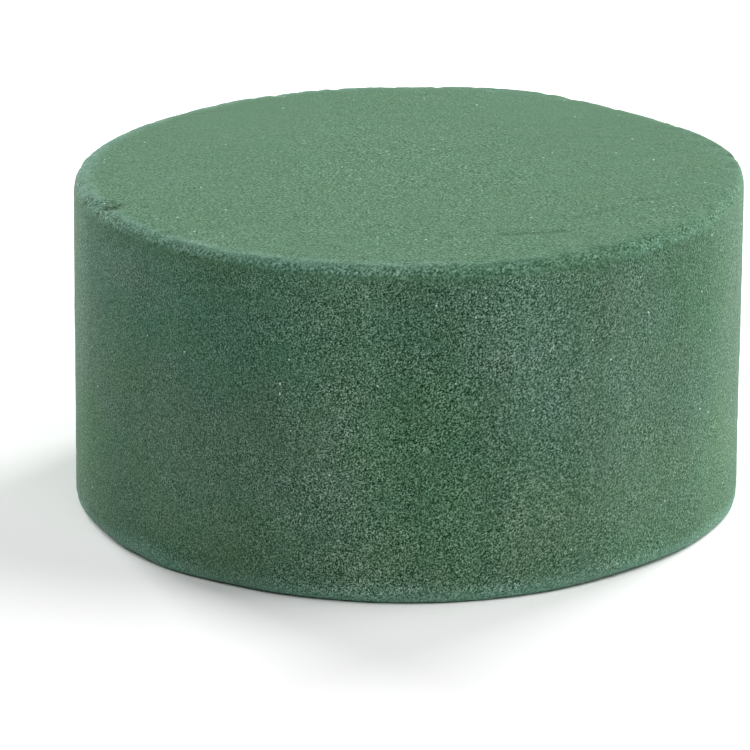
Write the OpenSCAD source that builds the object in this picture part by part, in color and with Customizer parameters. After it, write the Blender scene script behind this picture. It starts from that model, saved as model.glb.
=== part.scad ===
// Round block of floral foam: one solid piece of rigid open-cell foam.
// The origin is at the centre of the base, and +Z points up towards the face
// that flower stems are pushed into.

/* [Block] */
// Diameter of the block
block_d = 80; // [40:1:160]
// Height of the block, from the base to the top face
block_h = 40; // [20:1:100]

/* [Edges] */
// Radius of the soft upper rim
rim_r = 2; // [0.5:0.1:6]
// Radius of the sharper lower edge
foot_r = 0.8; // [0.2:0.1:4]

/* [Hidden] */
block_r = block_d / 2;
wall_h = block_h - rim_r - foot_r;
foam_green = [0.36, 0.50, 0.41];

// Half of the block's section: a core between the two flat faces, the straight
// wall outside it, and one circle at each rounded edge.
module block_section() {
    translate([0, foot_r])
        square([block_r, wall_h]);
    square([block_r - foot_r, block_h - rim_r]);
    square([block_r - rim_r, block_h]);
    translate([block_r - foot_r, foot_r])
        circle(r = foot_r, $fn = 48);
    translate([block_r - rim_r, block_h - rim_r])
        circle(r = rim_r, $fn = 64);
}

module foam_block() {
    color(foam_green)
        rotate_extrude($fn = 180)
            block_section();
}

foam_block();
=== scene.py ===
"""A round block of floral foam, which is one solid of cut open-cell foam, in a plain pale studio."""

import math

import bmesh
import bpy
from bpy.props import FloatProperty, FloatVectorProperty, IntProperty, PointerProperty
from bpy.types import Operator, Panel, PropertyGroup, Scene
from mathutils import Matrix, Vector, noise


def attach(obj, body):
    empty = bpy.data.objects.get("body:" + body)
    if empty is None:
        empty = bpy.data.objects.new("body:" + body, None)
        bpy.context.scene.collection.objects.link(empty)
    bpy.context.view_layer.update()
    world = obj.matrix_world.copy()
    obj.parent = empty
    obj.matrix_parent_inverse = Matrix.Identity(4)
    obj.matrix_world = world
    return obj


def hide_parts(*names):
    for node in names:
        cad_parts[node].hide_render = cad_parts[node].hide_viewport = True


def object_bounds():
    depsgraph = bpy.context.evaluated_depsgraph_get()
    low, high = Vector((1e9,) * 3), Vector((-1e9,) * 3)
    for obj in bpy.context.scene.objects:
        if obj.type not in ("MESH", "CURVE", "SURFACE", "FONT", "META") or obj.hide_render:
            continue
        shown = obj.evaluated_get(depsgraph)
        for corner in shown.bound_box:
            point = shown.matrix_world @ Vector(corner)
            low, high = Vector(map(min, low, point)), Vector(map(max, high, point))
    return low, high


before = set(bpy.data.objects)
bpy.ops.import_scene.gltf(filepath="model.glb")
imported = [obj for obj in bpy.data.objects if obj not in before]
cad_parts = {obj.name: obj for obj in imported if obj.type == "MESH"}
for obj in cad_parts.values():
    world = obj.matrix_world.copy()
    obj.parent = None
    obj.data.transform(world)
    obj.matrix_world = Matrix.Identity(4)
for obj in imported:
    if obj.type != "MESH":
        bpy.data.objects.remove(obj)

bl_info = {
    "name": "Floral Foam Block",
    "version": (1, 0, 0),
    "blender": (4, 5, 0),
    "location": "3D View > Sidebar > Floral Foam",
    "description": "Models a round block of cut floral foam and the studio that it stands in",
    "category": "Object",
}

MM = 0.001
CAD_LOW, CAD_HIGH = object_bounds()

# How much softer or crisper than usual the upper rim and the lower edge are in places: degrees round the
# block from the front, half width in degrees and change of radius in millimetres
RIM_WEAR = (
    (-15, 52, -0.3),
    (47, 20, 0.4),
    (98, 28, -1.2),
    (134, 22, 0.9),
    (160, 18, -1.0),
    (-178, 12, 0.3),
    (-130, 25, 0.4),
    (-98, 18, -0.4),
)
FOOT_WEAR = (
    (-66, 10, 0.5),
    (-45, 9, -0.5),
    (-31, 8, 0.4),
    (8, 26, -0.4),
    (42, 18, 0.7),
    (75, 14, -0.6),
    (170, 40, 0.6),
)
# Small breaks in the upper rim: degrees from the front, and distance in from the wall, width and depth in
# millimetres
NICKS = (
    (-73, 0, 2.2, 0.22),
    (-66, 0, 2.2, 0.16),
    (-66.4, 2.1, 2.4, 0.26),
    (-60, 0, 1.6, 0.15),
    (-53, 0, 1.4, 0.12),
    (203, 0, 2.4, 0.3),
    (198, 0, 1.6, 0.2),
    (123, 0, 2.2, 0.15),
    (22, 0, 1.8, 0.2),
)
# Bands that the cutter left down the wall: degrees from the front, half width in degrees and lightening
STREAKS = (
    (-62, 5, 0.04),
    (-47, 7, 0.07),
    (-30, 6, -0.08),
    (-23, 3, -0.02),
    (-9, 4.5, 0.08),
    (1, 3.5, -0.04),
    (22, 4, 0.04),
    (31, 2.5, -0.07),
    (41, 4, 0.08),
    (52, 3, -0.02),
)
# Scratches that the cutting wire left on the top face: the two ends in millimetres from the middle, how far
# the line bows towards the front between them, its width and its depth
SCRATCHES = (
    ((9, -27.2), (19.5, -25.3), 0.2, 0.5, 0.11),
    ((16, -23), (26, -14.8), 0.3, 0.4, 0.08),
    ((26, -14.4), (32, -10.3), 0.2, 0.4, 0.06),
    ((-3, -8.8), (3, -7.1), 0.1, 0.4, 0.07),
)
# How far crushed foam and the painted highlight of the upper rim reach in from the wall and down from the
# top face at the upper rim, and how far crushed foam reaches from the lower edge
RIM_IN = 3 * MM
RIM_DOWN = 1.3 * MM
FOOT_REACH = 2.4 * MM
# A line of loose crumbs and painted highlight under the rim: how far down its middle is, its half width,
# its place in degrees round the block from the front, and how far in from the wall it stops
CRUMB_HIGHLIGHT_DOWN = 1.1 * MM
CRUMB_HIGHLIGHT_HALF_WIDTH = 0.7 * MM
CRUMB_HIGHLIGHT_TURN = 50
CRUMB_HIGHLIGHT_IN = 3 * MM
# How far apart the surface's slow swells, ripples, open cells, crumbled spots and upright marks are, how
# long the marks are, and how wide the blotches of stronger grain and the clouds of another green are
SWELL_SPACING = 17 * MM
RIPPLE_SPACING = 3.2 * MM
CELL_SPACING = 0.95 * MM
CRUMBLE_SPACING = 2.1 * MM
MARK_SPACING = 1.1 * MM
MARK_LENGTH = 60 * MM
BLOTCH_SPACING = 3 * MM
CLOUD_SPACING = 5 * MM
# Where in the noise the marks, the blotches and the clouds are read, so that they don't follow each other
MARK_SEED = Vector((0, 0, 4))
BLOTCH_SEED = Vector((5, 5, 5))
CLOUD_SEED = Vector((7, 3, 1))
# The way that the foam rose as it set, along which its cells are a little longer
RISE = (0.62, 0.48, 0.62)
# How far each colour swings with the grain and its painted pore shade: an open cell is a deep green and a
# crumb is pale
GRAIN_SWING = {"Red": 2.9, "Green": 2.1, "Blue": 2.6}
# How much a tone of 1 changes red or blue
TINT_STEP = 0.09
# What the mesh tells the finish about each point
TONES = ("wall", "wear", "nicked", "grain_and_shade_strength", "lift", "redder", "bluer")
# Soft patches of another green on the wall: degrees from the front, height, half width and half height
# in millimetres, and how much lighter, redder and bluer than the rest; the lighter patches low on the wall
# are tone and painted light bounced up from the floor
PATCHES = (
    (-34, 31, 13, 8, -0.03, -1.1, 0.2),
    (-64, 32, 5, 7, 0, -1.0, 0.6),
    (-42, 14, 11, 8, 0.03, 0.8, 0.3),
    (-20, 16, 6, 9, 0.02, 1.0, 0.6),
    (-34, 5, 9, 4, 0.02, 0.4, -0.5),
    (-70, 10, 5, 8, 0, -1.2, -1.5),
    (4, 14, 8, 14, 0, -0.6, -1.0),
    (1, 33, 7, 6, -0.07, -0.3, 0),
    (-2, 3, 10, 5, 0.02, 0.6, 0.1),
    (20, 28, 7, 9, 0.07, 0.7, 1.0),
    (24, 8, 5, 6, 0.04, 0.9, -0.3),
    (42, 20, 7, 14, 0.02, 0.9, 0.7),
    (44, 8, 10, 8, 0.08, 0.4, -0.5),
    (60, 32, 7, 7, -0.02, -0.9, -0.9),
    (66, 9, 7, 8, 0.07, -0.4, -1.3),
    (14, 19, 6, 8, -0.07, -0.2, 0),
    (-21, 19, 2.5, 6, -0.07, 0, 0),
    (33, 20, 3, 16, 0.04, 0.2, 0.2),
    (57, 13, 4, 11, 0.04, 0.4, 0.6),
    (18, 6, 4, 4, -0.05, 0, 0),
    (40, 34, 5, 4, -0.06, 0.7, 0.4),
    (73, 18, 6, 12, 0.02, 0.8, 0.1),
    (-48, 34, 5, 4, 0.03, 0.8, 1.0),
    (-57, 36, 4, 3, 0.08, 0.6, 1.0),
    (-39, 20, 7, 7, -0.03, 0.8, 0.6),
    (-24, 35, 3, 3, 0.07, 0.3, 0.2),
    (-77, 27, 4, 11, 0.06, 0, 0),
    (-9, 14, 4, 12, 0, 0.7, 0.2),
    (26, 20, 13, 20, -0.03, 0.25, 0.1),
    (2, 22, 9, 14, -0.04, -0.4, -0.2),
    (2, 5, 3, 6, 0.07, 0.2, 0.2),
    (15, 6, 3, 6, 0.05, 0.4, 0),
)
# Softboxes of the studio: degrees from the front and above the floor, distance, width and depth in metres,
# and power in watts
LAMPS = (
    ("front_softbox", 0, 50, 0.9, 0.9, 0.4, 3.1),
    ("upper_right_softbox", 90, 50, 1.0, 0.6, 0.6, 5.6),
    ("upper_left_softbox", -90, 50, 1.0, 0.6, 0.6, 1.25),
    ("right_softbox", 83, 15, 0.8, 0.35, 0.5, 1.75),
    ("back_right_softbox", 140, 15, 0.8, 0.3, 0.5, 7.9),
    ("back_left_softbox", -145, 15, 0.8, 0.3, 0.5, 8.4),
)


# ---------------------------------------------------------------- settings


class FoamFormSettings(PropertyGroup):
    """Sizes of the foam block."""

    diameter: FloatProperty(
        name="Diameter", description="Width of the block", default=CAD_HIGH.x - CAD_LOW.x,
        min=0.04, max=0.16, unit="LENGTH",
    )
    height: FloatProperty(
        name="Height", description="Height of the block", default=CAD_HIGH.z - CAD_LOW.z,
        min=0.02, max=0.1, unit="LENGTH",
    )
    rim_radius: FloatProperty(
        name="Rim radius", description="Usual radius of the upper rim", default=1.8 * MM,
        min=0.5 * MM, max=6 * MM, unit="LENGTH",
    )
    foot_radius: FloatProperty(
        name="Foot radius", description="Usual radius of the lower edge", default=1.2 * MM,
        min=0.2 * MM, max=4 * MM, unit="LENGTH",
    )
    lean: FloatProperty(
        name="Lean", description="How far the cut carries the top face sideways of the base",
        default=0.38 * MM, min=0, max=2 * MM, unit="LENGTH",
    )
    flare: FloatProperty(
        name="Flare", description="How much wider the base is than the top face",
        default=0.5 * MM, min=0, max=2 * MM, unit="LENGTH",
    )
    swell_depth: FloatProperty(
        name="Swell depth", description="How far slow swells move the cut surfaces",
        default=0.08 * MM, min=0, max=1 * MM, unit="LENGTH",
    )
    ripple_depth: FloatProperty(
        name="Ripple depth", description="How far small ripples move the cut surfaces",
        default=0.03 * MM, min=0, max=0.5 * MM, unit="LENGTH",
    )
    cell_depth: FloatProperty(
        name="Cell depth", description="How deep the biggest open cells are in the mesh",
        default=0.06 * MM, min=0, max=0.5 * MM, unit="LENGTH",
    )
    crumble_depth: FloatProperty(
        name="Crumble depth", description="How deep the crumbled spots along the upper rim are",
        default=0.16 * MM, min=0, max=1 * MM, unit="LENGTH",
    )
    mark_depth: FloatProperty(
        name="Mark depth", description="How deep the upright marks on the wall are",
        default=0.04 * MM, min=0, max=0.5 * MM, unit="LENGTH",
    )
    cells_across: IntProperty(
        name="Cells across", description="Mesh cells from one side of the top face to the other",
        default=140, min=20, max=400,
    )


class FoamFinishSettings(PropertyGroup):
    """Colours and grain of the foam."""

    face_colour: FloatVectorProperty(
        name="Face colour", description="Colour of the sawn top and bottom faces", subtype="COLOR",
        default=(0.0720, 0.1655, 0.0930), min=0, max=1,
    )
    wall_colour: FloatVectorProperty(
        name="Wall colour", description="Colour of the die-cut wall", subtype="COLOR",
        default=(0.0755, 0.1595, 0.0985), min=0, max=1,
    )
    # crushed foam along worn edges, also used for the painted highlight on the upper rim
    dust_and_highlight_colour: FloatVectorProperty(
        name="Dust colour", description="Colour of the crushed foam along worn edges", subtype="COLOR",
        default=(0.127, 0.254, 0.187), min=0, max=1,
    )
    face_pore_size: FloatProperty(
        name="Face pore size", description="Distance between the open cells that the sawn faces show",
        default=0.27 * MM, min=0.1 * MM, max=3 * MM, unit="LENGTH",
    )
    wall_pore_size: FloatProperty(
        name="Wall pore size", description="Distance between the open cells that the wall shows",
        default=0.19 * MM, min=0.1 * MM, max=3 * MM, unit="LENGTH",
    )
    pore_depth: FloatProperty(
        name="Pore depth", description="Depth of the open cells that the surface shows",
        default=0.05 * MM, min=0, max=1 * MM, unit="LENGTH",
    )
    pore_stretch: FloatProperty(
        name="Pore stretch", description="How much longer the cells are the way that the foam rose",
        default=0.3, min=0, max=0.9, subtype="FACTOR",
    )
    # how much of a worn edge the crushed foam and the upper rim's painted highlight cover
    dust_and_highlight_cover: FloatProperty(
        name="Dust cover", description="How much of a fully worn edge the crushed foam hides",
        default=0.95, min=0, max=1, subtype="FACTOR",
    )
    nick_shade: FloatProperty(
        name="Nick shade", description="How much darker nicks and scratches are",
        default=0.42, min=0, max=1, subtype="FACTOR",
    )
    crumb_colour: FloatVectorProperty(
        name="Crumb colour", description="Colour of the loose white crumbs", subtype="COLOR",
        default=(0.62, 0.75, 0.66), min=0, max=1,
    )
    crumb_spacing: FloatProperty(
        name="Crumb spacing", description="Width of the patches that may each hold one loose crumb",
        default=1.1 * MM, min=0.2 * MM, max=10 * MM, unit="LENGTH",
    )


class FoamStudioSettings(PropertyGroup):
    """Camera and light of the studio."""

    lens: FloatProperty(
        name="Lens", description="Focal length of the camera in millimetres", default=220.8,
        min=20, max=600,
    )
    camera_distance: FloatProperty(
        name="Camera distance", description="Distance from the middle of the block to the camera",
        default=0.5547, min=0.1, unit="LENGTH",
    )
    camera_elevation: FloatProperty(
        name="Camera elevation", description="Angle of the camera above the floor",
        default=math.radians(17.95), subtype="ANGLE", unit="ROTATION",
    )
    camera_roll: FloatProperty(
        name="Camera roll", description="How far the camera is tipped sideways",
        default=math.radians(-0.263), subtype="ANGLE", unit="ROTATION",
    )
    camera_aim: FloatVectorProperty(
        name="Camera aim", description="Point that the camera looks at",
        default=(-3.911 * MM, 0, 14.164 * MM), size=3, subtype="TRANSLATION", unit="LENGTH",
    )
    floor_width: FloatProperty(
        name="Floor width", description="Width of the square floor", default=6.0, min=1, unit="LENGTH",
    )
    floor_colour: FloatVectorProperty(
        name="Floor colour", description="Colour of the matt floor", subtype="COLOR",
        default=(0.95, 0.95, 0.95), min=0, max=1,
    )
    room_light: FloatProperty(
        name="Room light", description="Strength of the even light from all round",
        default=0.02, min=0, max=1,
    )


# ---------------------------------------------------------------- the foam's form


def smooth(share):
    """A soft step from 0 to 1 as share goes from 0 to 1."""
    share = min(max(share, 0.0), 1.0)
    return share * share * (3 - 2 * share)


def ramp(value, start, end):
    """A soft step from 0 where value is start to 1 where it is end, which may be the smaller of the two."""
    return smooth((value - start) / (end - start))


def on_disc(a, b):
    """Where a point of the square from -1 to 1 lands on the unit disc, with cells of even size."""
    if max(abs(a), abs(b)) < 1e-9:
        return 0.0, 0.0
    if abs(a) >= abs(b):
        reach = a
        angle = math.pi / 4 * b / a
    else:
        reach = b
        angle = math.pi / 2 - math.pi / 4 * a / b
    return reach * math.cos(angle), reach * math.sin(angle)


def from_front(x, y):
    """Degrees round the block from its front, which faces -Y, to the right of it."""
    return math.degrees(math.atan2(x, -y))


def degrees_apart(first, second):
    """The turn from second to first the short way round, from -180 to 180."""
    return math.remainder(first - second, 360)


def worn_radius(radius, wear, angle):
    """What a table of wear makes of an edge's radius at that angle round the block."""
    turn = from_front(math.cos(angle), math.sin(angle))
    for middle, half_width, change in wear:
        radius += change * MM * ramp(abs(degrees_apart(turn, middle)), half_width, 0)
    uneven = noise.noise(Vector((5 * math.cos(angle), 5 * math.sin(angle), 0.5)))
    return max(0.3 * MM, radius * (1 + 0.12 * uneven))


def rim_place(form, angle, share):
    """Radius and height on the rounded upper rim, from the top face at 0 to the wall at 1."""
    soft = worn_radius(form.rim_radius, RIM_WEAR, angle)
    turn = math.pi / 2 * share
    return form.diameter / 2 - soft * (1 - math.sin(turn)), form.height - soft * (1 - math.cos(turn))


def wall_place(form, angle, share):
    """Radius and height on the straight wall, from the rim at 0 to the foot at 1."""
    top = form.height - worn_radius(form.rim_radius, RIM_WEAR, angle)
    foot = worn_radius(form.foot_radius, FOOT_WEAR, angle)
    return form.diameter / 2, top + (foot - top) * share


def foot_place(form, angle, share):
    """Radius and height on the rounded lower edge, from the wall at 0 to the base at 1."""
    soft = worn_radius(form.foot_radius, FOOT_WEAR, angle)
    turn = math.pi / 2 * share
    return form.diameter / 2 - soft * (1 - math.cos(turn)), soft * (1 - math.sin(turn))


def add_disc(bm, form, place):
    """A flat round face of even square cells, whose edge is where place(form, angle) puts it."""
    made = bmesh.ops.create_grid(bm, x_segments=form.cells_across, y_segments=form.cells_across, size=1)
    for vert in made["verts"]:
        x, y = on_disc(vert.co.x, vert.co.y)
        angle = math.atan2(y, x)
        radius, height = place(form, angle)
        vert.co = Vector((x * radius, y * radius, height))


def extrude_rings(bm, form, edges, place, count):
    """Carries the open edge over count rings that follow place, and returns the last ring's edges."""
    for step in range(1, count + 1):
        made = bmesh.ops.extrude_edge_only(bm, edges=edges)["geom"]
        for vert in (item for item in made if isinstance(item, bmesh.types.BMVert)):
            angle = math.atan2(vert.co.y, vert.co.x)
            radius, height = place(form, angle, step / count)
            vert.co = Vector((radius * math.cos(angle), radius * math.sin(angle), height))
        edges = [item for item in made if isinstance(item, bmesh.types.BMEdge) and item.is_boundary]
    return edges


def smooth_block(form):
    """The closed block before its surface is broken up."""
    bm = bmesh.new()
    cell = math.pi * form.diameter / (4 * form.cells_across)
    add_disc(bm, form, lambda form, angle: rim_place(form, angle, 0))
    edges = [edge for edge in bm.edges if edge.is_boundary]
    edges = extrude_rings(bm, form, edges, rim_place, round(math.pi / 2 * form.rim_radius / cell) + 1)
    edges = extrude_rings(bm, form, edges, wall_place, round(form.height / cell))
    extrude_rings(bm, form, edges, foot_place, round(math.pi / 2 * form.foot_radius / cell) + 1)
    add_disc(bm, form, lambda form, angle: foot_place(form, angle, 1))
    bmesh.ops.remove_doubles(bm, verts=bm.verts[:], dist=0.01 * MM)
    bmesh.ops.recalc_face_normals(bm, faces=bm.faces[:])
    return bm


def hollow(place, spacing):
    """From 0 on the walls between foam cells that far apart to 1 in the middle of an open one."""
    nearest = noise.voronoi(place / spacing)[0][0]
    return ramp(nearest, 0.6, 0)


class Spot:
    """A point of the smooth block, and which part of the surface it is on."""

    def __init__(self, form, place):
        self.form = form
        self.place = place
        self.turn = from_front(place.x, place.y)
        self.radius = math.hypot(place.x, place.y)
        self.out = form.diameter / 2 - self.radius
        self.down = form.height - place.z
        self.rim = ramp(math.hypot(self.out / RIM_IN, self.down / RIM_DOWN), 1.05, 0.425)
        self.wall = ramp(min(self.down, place.z + 0.5 * MM), 0.3 * MM, 2.2 * MM)
        self.standing = ramp(place.z, 0, 2 * MM)

    def rim_dust_and_highlight(self):
        """How thickly crushed foam and painted highlight lie on the upper rim: most at the left, with a
        line of crumbs and painted highlight at the right.
        """
        left = 1 - smooth(0.35 + 1.1 * math.sin(math.radians(self.turn)))
        crumbs = ramp(abs(self.down - CRUMB_HIGHLIGHT_DOWN), CRUMB_HIGHLIGHT_HALF_WIDTH, 0) * (self.out < CRUMB_HIGHLIGHT_IN)
        crumbs *= ramp(abs(degrees_apart(self.turn, CRUMB_HIGHLIGHT_TURN)), 19.2, 3.2)
        clumped = 0.4 + 1.2 * noise.noise(self.place / (0.8 * MM))
        return self.rim * (0.2 + 0.54 * left) + crumbs * clumped

    def foot_dust(self):
        """How thickly crushed foam lies along the lower edge."""
        reach = FOOT_REACH + MM * noise.noise(self.place / (9 * MM))
        return ramp(math.hypot(self.out, self.place.z) / reach, 1.15, 0.15)

    def nick(self):
        """How deep the nicks in the rim are there."""
        depth = 0
        for turn, inside, width, deep in NICKS:
            across = self.radius * math.radians(degrees_apart(self.turn, turn))
            away = math.hypot(0.7 * across, self.out - inside * MM, self.down)
            depth += deep * MM * ramp(away / (width * MM), 0.7, 0.2)
        return depth * (1 + noise.noise(self.place / (1.1 * MM)))

    def marked(self):
        """Fine upright scratches in a few stretches of the wall, from -1 to 1."""
        turn = math.radians(self.turn)
        around = Vector((math.sin(turn), math.cos(turn), 0))
        where = smooth(3 * noise.noise(1.3 * around + MARK_SEED) + ramp(self.turn, -58, -72))
        along = Vector((turn * self.radius / MARK_SPACING, 0.3, self.place.z / MARK_LENGTH))
        return self.wall * where * noise.noise(along)

    def scratch(self):
        """How deep the scratches in the top face are there."""
        depth = 0
        if self.down > 0.1 * MM:
            return depth
        for start, end, bow, width, deep in SCRATCHES:
            start = Vector(start) * MM
            run = Vector(end) * MM - start
            along = (self.place.xy - start).dot(run) / run.length_squared
            bend = 4 * bow * MM * along * (1 - along)
            side = (self.place.xy - start).cross(run) / run.length - bend
            ends = ramp(min(along, 1 - along), 0, 0.2)
            depth += deep * MM * ends * ramp(abs(side) / (width * MM), 1.3, 0.3)
        return depth

    def lost(self):
        """How far the foam's surface lies inside the smooth block."""
        crumbled = smooth(2.2 * noise.noise(self.place / CRUMBLE_SPACING))
        return (
            self.form.swell_depth * self.standing * noise.noise(self.place / SWELL_SPACING)
            + self.form.ripple_depth * self.standing * noise.noise(self.place / RIPPLE_SPACING)
            + self.form.cell_depth * hollow(self.place, CELL_SPACING)
            + self.form.crumble_depth * self.rim * crumbled
            + self.form.mark_depth * self.marked()
            + self.scratch()
            + self.nick()
        )

    def streak(self):
        """How much lighter the wall's streaks make it."""
        drawn_out = Vector((self.place.x, self.place.y, 0.08 * self.place.z))
        lighter = 0.05 * noise.noise(drawn_out / (3.5 * MM))
        for turn, half_width, change in STREAKS:
            lighter += change * ramp(abs(degrees_apart(self.turn, turn)) / half_width, 2, 0.4)
        return lighter

    def patch(self):
        """How much lighter, redder and bluer the wall's patches make it, with painted floor-bounce light in
        the low ones.
        """
        total = Vector((0, 0, 0))
        wander = 3 * MM * noise.noise_vector(self.place / (6 * MM))
        for turn, height, half_width, half_height, lighter, redder, bluer in PATCHES:
            across = self.radius * math.radians(degrees_apart(self.turn, turn)) + wander.x
            along = self.place.z - height * MM + wander.y
            near = ramp(math.hypot(across / (half_width * MM), along / (half_height * MM)), 1.5, 0.5)
            total += near * Vector((lighter, redder, bluer))
        return total

    def grain_and_shade_strength(self):
        """How strongly the grain and the painted shade in its pores show: most on the near middle of the
        wall, least on the far top face.
        """
        blotch = 1 + 0.35 * noise.noise(self.place / BLOTCH_SPACING + BLOTCH_SEED)
        far = ramp(self.place.y, -3 * MM, 35 * MM)
        near = ramp(self.place.y, -2 * MM, -16 * MM)
        side = ramp(abs(self.place.x), 5 * MM, 22 * MM)
        face = 0.69 - 0.34 * far - 0.08 * near - (0.26 - 0.19 * near) * side
        wide = ramp(abs(self.turn - 2), 65, 13)
        middle = ramp(abs(self.turn - 1), 35, 7)
        wall = 0.71 + 0.2 * wide + 0.29 * middle
        torn = self.rim * (0.6 * ramp(self.down, 0, 0.6 * MM) - 0.25)
        return blotch * (1 + torn) * max(0.1, face + (wall - face) * self.wall)

    def tones(self):
        """What the finish reads at this point."""
        # lighter: streaks, marks and patches; the lighter low patches carry painted light bounced up from
        # the floor
        lighter, redder, bluer = self.wall * (self.patch() + Vector((self.streak(), 0, 0)))
        cloud = 0.5 * noise.noise_vector(self.place / CLOUD_SPACING + CLOUD_SEED)
        nicked = min(1, 2.8 * self.nick() / MM)
        return {
            "wall": self.wall,
            # wear: crushed foam along the edges, with painted highlight on the upper rim
            "wear": min(1, max(self.rim_dust_and_highlight(), self.foot_dust())) * (1 - nicked),
            "nicked": min(1, nicked + 5 * self.scratch() / MM),
            "grain_and_shade_strength": self.grain_and_shade_strength() * (1 + 0.6 * nicked),
            "lift": lighter + 0.1 * self.marked(),
            "redder": redder + cloud.x,
            "bluer": bluer + cloud.y,
        }


def sculpt(bm, form):
    """Takes the surface in to where its cells, crumbled rim and nicks leave it, and notes its tones."""
    bm.normal_update()
    layers = {name: bm.verts.layers.float.new(name) for name in TONES}
    for vert in bm.verts:
        spot = Spot(form, vert.co.copy())
        for name, value in spot.tones().items():
            vert[layers[name]] = value
        vert.co -= spot.lost() * vert.normal
        rise = vert.co.z / form.height - 0.5
        vert.co.xy *= 1 - form.flare / form.diameter * rise
        vert.co.x += form.lean * rise


# ---------------------------------------------------------------- finishes


class Wire:
    """A value inside a material, on which ordinary arithmetic adds Math nodes."""

    def __init__(self, finish, socket):
        self.finish = finish
        self.socket = socket

    def maths(self, operation, *values):
        return self.finish.node("Math", {"operation": operation}, dict(enumerate(values)))

    def __add__(self, other):
        return self.maths("ADD", self, other)

    __radd__ = __add__

    def __sub__(self, other):
        return self.maths("SUBTRACT", self, other)

    def __rsub__(self, other):
        return self.maths("SUBTRACT", other, self)

    def __mul__(self, other):
        return self.maths("MULTIPLY", self, other)

    __rmul__ = __mul__

    def __pow__(self, other):
        return self.maths("POWER", self, other)

    def __rpow__(self, other):
        return self.maths("POWER", other, self)


class Finish:
    """A material and the ways to add to it."""

    def __init__(self, name):
        self.material = bpy.data.materials.new(name)
        self.material.use_nodes = True
        self.tree = self.material.node_tree
        self.tree.nodes.clear()

    def node(self, kind, settings=None, values=None, output=0):
        """Adds a node, its settings first and then its sockets' values or wires, and gives one output."""
        made = self.tree.nodes.new("ShaderNode" + kind)
        for name, value in (settings or {}).items():
            setattr(made, name, value)
        for name, value in (values or {}).items():
            if isinstance(value, Wire):
                self.tree.links.new(value.socket, made.inputs[name])
            else:
                made.inputs[name].default_value = value
        return Wire(self, made.outputs[output])

    def mix(self, factor, first, second):
        """A colour between first and second."""
        return self.node(
            "Mix",
            {"data_type": "RGBA"},
            {0: factor, 6: colour(first), 7: colour(second)},
            output=2,
        )

    def shade(self, first, second):
        """first times second, as colours."""
        return self.node(
            "Mix",
            {"data_type": "RGBA", "blend_type": "MULTIPLY"},
            {0: 1.0, 6: colour(first), 7: colour(second)},
            output=2,
        )

    def step(self, value, low, high):
        """A soft step from 0 where value is low to 1 where it is high."""
        return self.node(
            "MapRange",
            {"interpolation_type": "SMOOTHSTEP"},
            {"Value": value, "From Min": low, "From Max": high},
        )

    def tone(self, name):
        """One of the tones that the mesh carries."""
        return self.node("Attribute", {"attribute_name": name}, output="Fac")

    def noise(self, place, size):
        """Cloudy noise from 0 to 1, of lumps that far apart."""
        return self.node("TexNoise", None, {"Vector": place, "Scale": 1 / size, "Detail": 1.0})

    def cells(self, place, size, output="Distance"):
        """Distance from the middle of the nearest foam cell, in cells, or that cell's own random colour."""
        return self.node("TexVoronoi", None, {"Vector": place, "Scale": 1 / size}, output=output)

    def show(self, shader):
        """Makes shader the material's surface, and gives the material."""
        ending = self.tree.nodes.new("ShaderNodeOutputMaterial")
        self.tree.links.new(shader.socket, ending.inputs["Surface"])
        return self.material


def colour(value):
    """A colour with its alpha, or a wire as it is."""
    return value if isinstance(value, Wire) else (*value, 1.0)


def open_cells(finish, place, size):
    """From 0 in open cells to 1 on the crumbs between them, pushed about to look torn."""
    wander = finish.node("TexNoise", None, {"Vector": place, "Scale": 0.7 / size}, output="Color")
    pushed = finish.node(
        "VectorMath",
        {"operation": "MULTIPLY_ADD"},
        {0: wander, 1: (0.6 * size,) * 3, 2: place},
    )
    height = 0.35 * finish.cells(pushed, size) + finish.noise(place, 0.85 * size)
    return finish.step(height, 0.34, 1.04)


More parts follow.
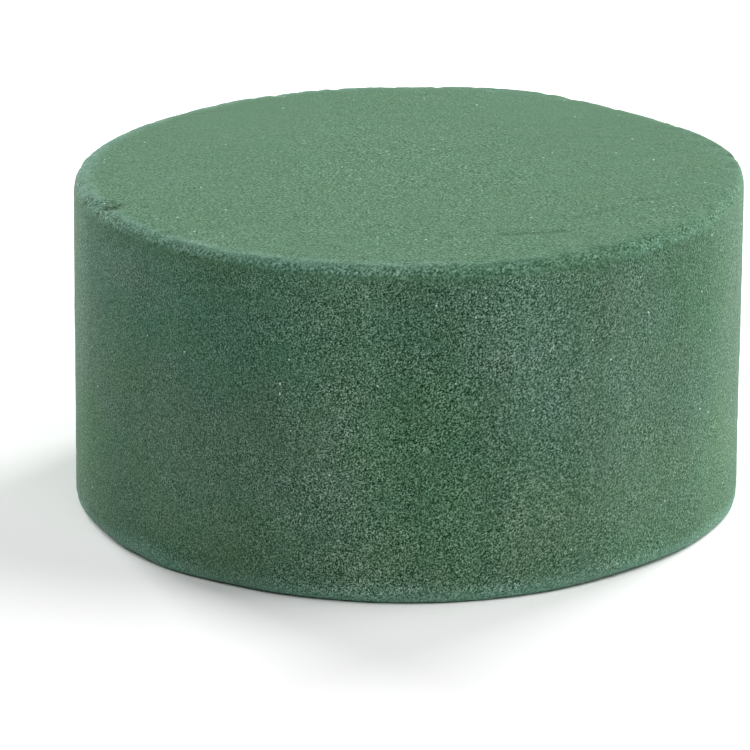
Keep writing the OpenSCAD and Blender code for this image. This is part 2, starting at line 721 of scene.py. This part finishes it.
def foam_finish(look):
    """Cut foam: dark open cells, with painted shade in them, between pale cell walls, with crushed foam
    along its edges and painted highlight on its upper rim.
    """
    finish = Finish("cut_foam")
    place = finish.node("TexCoord", output="Object")
    wall = finish.tone("wall")
    wear = finish.tone("wear")

    # the grain: cells a little longer the way that the foam rose, and torn wider by the saw than by the die
    along = finish.node(
        "VectorMath",
        {"operation": "DOT_PRODUCT"},
        {0: place, 1: RISE},
        output="Value",
    )
    drawn = finish.node(
        "VectorMath",
        {"operation": "MULTIPLY_ADD"},
        {0: along, 1: tuple(-look.pore_stretch * part for part in RISE), 2: place},
    )
    sawn = open_cells(finish, drawn, look.face_pore_size)
    cut = open_cells(finish, drawn, look.wall_pore_size)
    relief = sawn + (cut - sawn) * wall

    # the foam's own colour, before its grain
    tone = finish.mix(wall, look.face_colour, look.wall_colour)
    # crushed foam along the edges, and painted highlight on the upper rim
    tone = finish.mix(look.dust_and_highlight_cover * wear, tone, look.dust_and_highlight_colour)
    tint = finish.node(
        "CombineColor",
        None,
        {
            "Red": 1 + TINT_STEP * finish.tone("redder"),
            "Green": 1.0,
            "Blue": 1 + TINT_STEP * finish.tone("bluer"),
        },
    )
    tone = finish.shade(tone, tint)

    # the grain with its painted pore shade, and the nicks, light and dark
    light = (1 + finish.tone("lift")) * (1 - look.nick_shade * finish.tone("nicked"))
    grain = 1 + finish.tone("grain_and_shade_strength") * (relief - 0.5)
    swing = {name: light * grain ** power for name, power in GRAIN_SWING.items()}
    paint = finish.shade(tone, finish.node("CombineColor", None, swing))

    # a white crumb in about one patch in fifteen
    chance = finish.cells(place, look.crumb_spacing, output="Color")
    picked = finish.step(finish.node("SeparateColor", None, {0: chance}), 0.93, 0.94)
    speck = picked * (1 - finish.step(finish.cells(place, look.crumb_spacing), 0.08, 0.14))
    paint = finish.mix(0.8 * speck, paint, look.crumb_colour)

    bump = finish.node("Bump", None, {"Distance": look.pore_depth, "Height": relief * finish.tone("grain_and_shade_strength")})
    shader = finish.node(
        "BsdfPrincipled",
        None,
        {
            "Base Color": paint,
            "Roughness": 0.95 - 0.1 * relief,
            "Specular IOR Level": 0.15,
            "Sheen Weight": 0.03,
            "Sheen Roughness": 0.5,
            "Sheen Tint": (0.75, 0.9, 0.82, 1.0),
            "Normal": bump,
        },
    )
    return finish.show(shader)


def floor_finish(shade):
    """Plain and matt."""
    finish = Finish("floor_white")
    return finish.show(finish.node("BsdfPrincipled", None, {"Base Color": colour(shade), "Roughness": 0.8}))


# ---------------------------------------------------------------- the pieces


def piece_from(bm, name, material):
    """Ends the mesh work and makes the shaded object, at the origin."""
    mesh = bpy.data.meshes.new(name)
    bm.to_mesh(mesh)
    bm.free()
    mesh.shade_smooth()
    mesh.materials.append(material)
    piece = bpy.data.objects.new(name, mesh)
    bpy.context.scene.collection.objects.link(piece)
    return piece


def softbox(name, middle, turn, rise, distance, width, depth, power):
    """A rectangular lamp that faces middle from that many degrees round and above it."""
    lamp = bpy.data.lights.new(name, "AREA")
    lamp.shape = "RECTANGLE"
    lamp.size = width
    lamp.size_y = depth
    lamp.energy = power
    stand = bpy.data.objects.new(name, lamp)
    turn = math.radians(turn)
    rise = math.radians(rise)
    away = Vector((math.sin(turn) * math.cos(rise), -math.cos(turn) * math.cos(rise), math.sin(rise)))
    stand.location = middle + distance * away
    stand.rotation_euler = away.to_track_quat("Z", "Y").to_euler()
    bpy.context.scene.collection.objects.link(stand)


class FOAM_OT_block(Operator):
    """Model the foam block"""

    bl_idname = "foam.block"
    bl_label = "Foam Block"

    def execute(self, context):
        form = context.scene.foam_form
        bm = smooth_block(form)
        sculpt(bm, form)
        block = piece_from(bm, "foam", foam_finish(context.scene.foam_finish))
        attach(block, "root")
        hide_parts("foam_block")
        return {"FINISHED"}


class FOAM_OT_studio(Operator):
    """Set up the floor, the lamps and the camera"""

    bl_idname = "foam.studio"
    bl_label = "Studio"

    def execute(self, context):
        scene = context.scene
        studio = scene.foam_studio
        middle = Vector((0, 0, scene.foam_form.height / 2))

        bm = bmesh.new()
        bmesh.ops.create_grid(bm, x_segments=1, y_segments=1, size=studio.floor_width / 2)
        floor = piece_from(bm, "floor", floor_finish(studio.floor_colour))

        for name, turn, rise, distance, width, depth, power in LAMPS:
            softbox(name, middle, turn, rise, distance, width, depth, power)

        world = bpy.data.worlds.new("studio_air")
        world.use_nodes = True
        air = world.node_tree.nodes["Background"]
        air.inputs["Color"].default_value = (1.0, 1.0, 1.0, 1.0)
        air.inputs["Strength"].default_value = studio.room_light
        scene.world = world
        scene.view_settings.view_transform = "Standard"

        lens = bpy.data.cameras.new("camera")
        lens.lens = studio.lens
        lens.clip_start = 0.01
        camera = bpy.data.objects.new("camera", lens)
        back = studio.camera_distance * math.cos(studio.camera_elevation)
        up = studio.camera_distance * math.sin(studio.camera_elevation)
        camera.location = middle + Vector((0, -back, up))
        aim = Vector(studio.camera_aim) - camera.location
        turned = aim.to_track_quat("-Z", "Y").to_matrix() @ Matrix.Rotation(studio.camera_roll, 3, "Z")
        camera.rotation_euler = turned.to_euler()
        scene.collection.objects.link(camera)
        scene.camera = camera
        return {"FINISHED"}


class FOAM_PT_panel(Panel):
    """The foam block and its studio"""

    bl_idname = "FOAM_PT_panel"
    bl_label = "Floral Foam"
    bl_space_type = "VIEW_3D"
    bl_region_type = "UI"
    bl_category = "Floral Foam"

    def draw(self, context):
        for name in ("foam_form", "foam_finish", "foam_studio"):
            settings = getattr(context.scene, name)
            box = self.layout.box()
            for setting in settings.__annotations__:
                box.prop(settings, setting)
        for operator in (FOAM_OT_block, FOAM_OT_studio):
            self.layout.operator(operator.bl_idname)


SETTINGS = (
    ("foam_form", FoamFormSettings),
    ("foam_finish", FoamFinishSettings),
    ("foam_studio", FoamStudioSettings),
)
OPERATORS = (FOAM_OT_block, FOAM_OT_studio)


def register():
    for name, group in SETTINGS:
        bpy.utils.register_class(group)
        setattr(Scene, name, PointerProperty(type=group))
    for operator in OPERATORS:
        bpy.utils.register_class(operator)
    bpy.utils.register_class(FOAM_PT_panel)


def unregister():
    bpy.utils.unregister_class(FOAM_PT_panel)
    for operator in reversed(OPERATORS):
        bpy.utils.unregister_class(operator)
    for name, group in reversed(SETTINGS):
        delattr(Scene, name)
        bpy.utils.unregister_class(group)


def main():
    register()
    bpy.ops.foam.block()
    bpy.ops.foam.studio()


if __name__ == "__main__":
    main()
